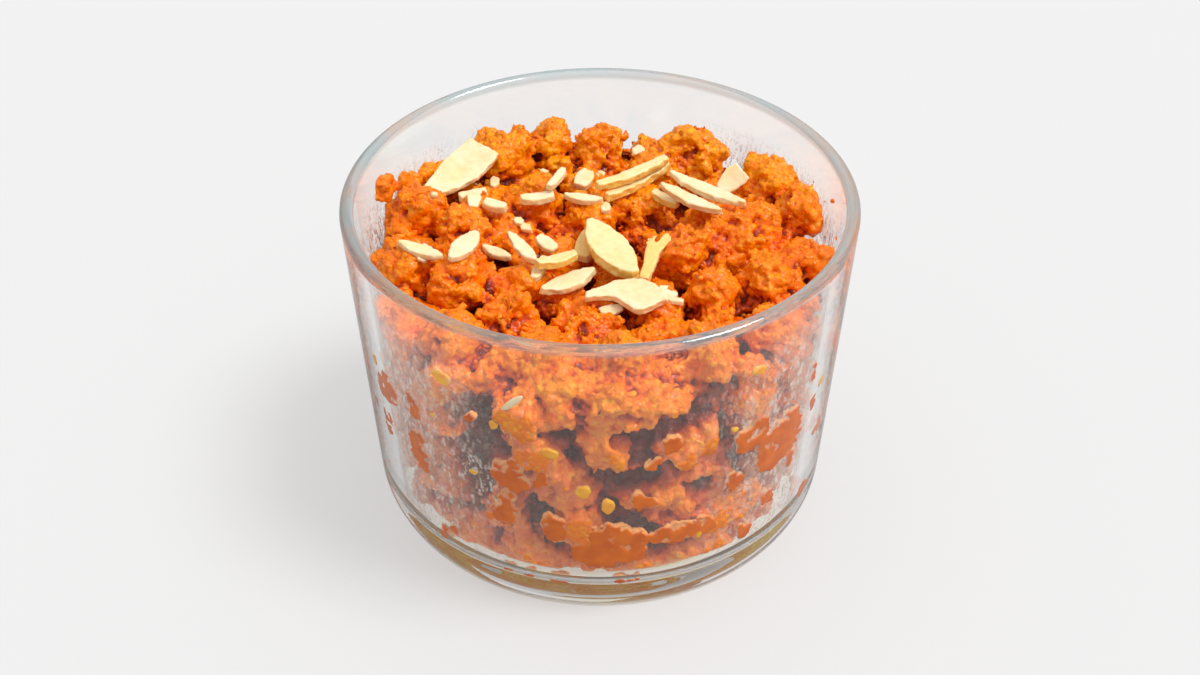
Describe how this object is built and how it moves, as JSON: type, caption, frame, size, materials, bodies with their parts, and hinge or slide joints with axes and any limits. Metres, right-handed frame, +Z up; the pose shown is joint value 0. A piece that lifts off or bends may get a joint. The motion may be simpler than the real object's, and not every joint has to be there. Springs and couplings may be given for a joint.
{
  "type": "glass bowl of orange halwa topped with sliced almonds",
  "caption": "Clear round glass bowl filled with crumbly orange halwa, with sliced almonds scattered over the top.",
  "frame": {"origin": "on the bowl's axis, at the plane that its foot ring rests on", "axes": "+Z up out of the bowl; the view of the picture looks along +Y and down, with +X to its right"},
  "size_m": [0.09, 0.09, 0.0655],
  "materials": {
    "glass": "clear polished soda glass, filmed with oil and fine droplets inside where the sweet touches it",
    "halwa": "moist crumbly grated sweet, glistening",
    "almond": "smooth cut blanched almond, satin"
  },
  "bodies": {
    "root": {"glass_bowl": "glass", "halwa": "halwa", "almond_chunk_a": "almond", "almond_chunk_b": "almond", "almond_chunk_c": "almond", "almond_flake": "almond", "almond_fork": "almond", "almond_half": "almond", "almond_hook": "almond", "almond_lens_a": "almond", "almond_lens_b": "almond", "almond_slice_b": "almond", "almond_slice_back": "almond", "almond_slice_c": "almond", "almond_slice_d": "almond", "almond_slice_e": "almond", "almond_slice_f": "almond", "almond_slice_g": "almond", "almond_sliver_a": "almond", "almond_sliver_b": "almond", "almond_sliver_c": "almond", "almond_sliver_d": "almond", "almond_sliver_e": "almond", "almond_sliver_f": "almond", "almond_sliver_g": "almond", "almond_sliver_h": "almond", "almond_wedge": "almond"}
  },
  "joints": []
}
